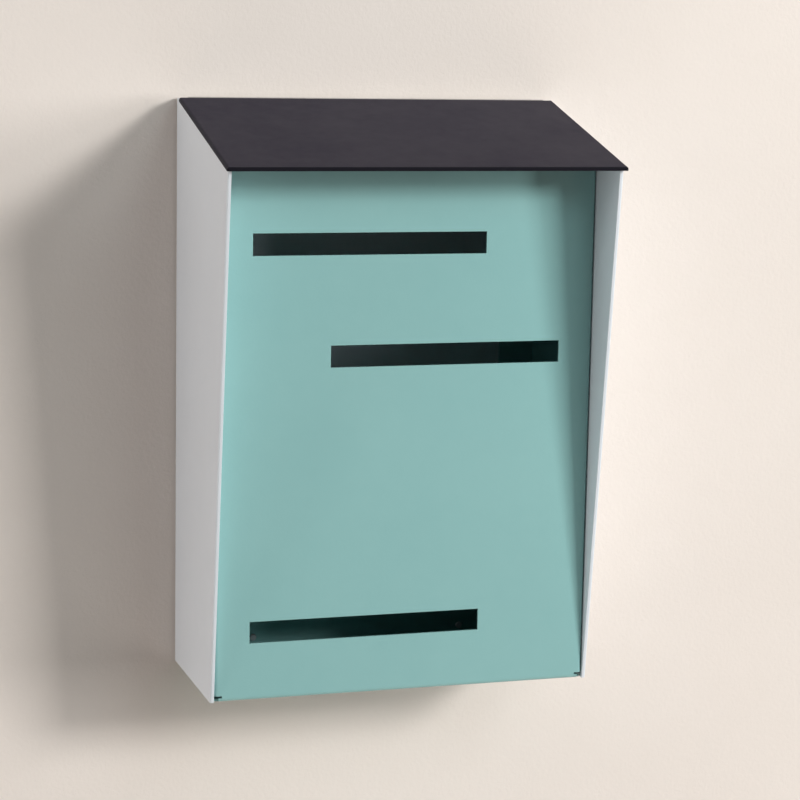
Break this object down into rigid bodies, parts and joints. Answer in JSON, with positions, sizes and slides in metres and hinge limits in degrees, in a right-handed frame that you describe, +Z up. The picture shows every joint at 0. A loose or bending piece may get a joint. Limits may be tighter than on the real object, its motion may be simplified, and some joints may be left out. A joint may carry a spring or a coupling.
{
  "type": "wall mounted post box",
  "caption": "Wall mounted post box with a folded metal body, a recessed front with horizontal letter slots and a sloping lid hinged at the back.",
  "frame": {"origin": "on the wall plane, in the middle of the four mounting holes", "axes": "+Z up, -Y out of the wall towards the front, +X to the right seen from the front"},
  "size_m": [0.303, 0.1784, 0.4443],
  "materials": {
    "shell_paint": "light grey satin powder coat",
    "tray_paint": "grey teal gloss powder coat",
    "lid_paint": "charcoal satin powder coat",
    "hinge_steel": "plain stainless",
    "fastener_zinc": "zinc plated",
    "buffer_rubber": "matt"
  },
  "bodies": {
    "box": {"body_shell": "shell_paint", "front_tray": "tray_paint", "hinge_body_leaf": "hinge_steel", "hinge_pin": "hinge_steel", "hinge_rivets": "fastener_zinc", "side_studs": "fastener_zinc", "side_washers": "fastener_zinc", "side_nuts": "fastener_zinc", "tray_rivets": "fastener_zinc", "lid_bumpers": "buffer_rubber"},
    "lid": {"lid": "lid_paint", "hinge_lid_leaf": "hinge_steel", "lid_studs": "fastener_zinc", "lid_washers": "fastener_zinc", "lid_nuts": "fastener_zinc"}
  },
  "joints": [
    {"name": "lid_hinge", "type": "hinge", "parent": "box", "child": "lid", "pos_m": [0, -0.0154, 0.2225], "axis": [-1, 0, 0], "range_deg": [0, 108]}
  ]
}
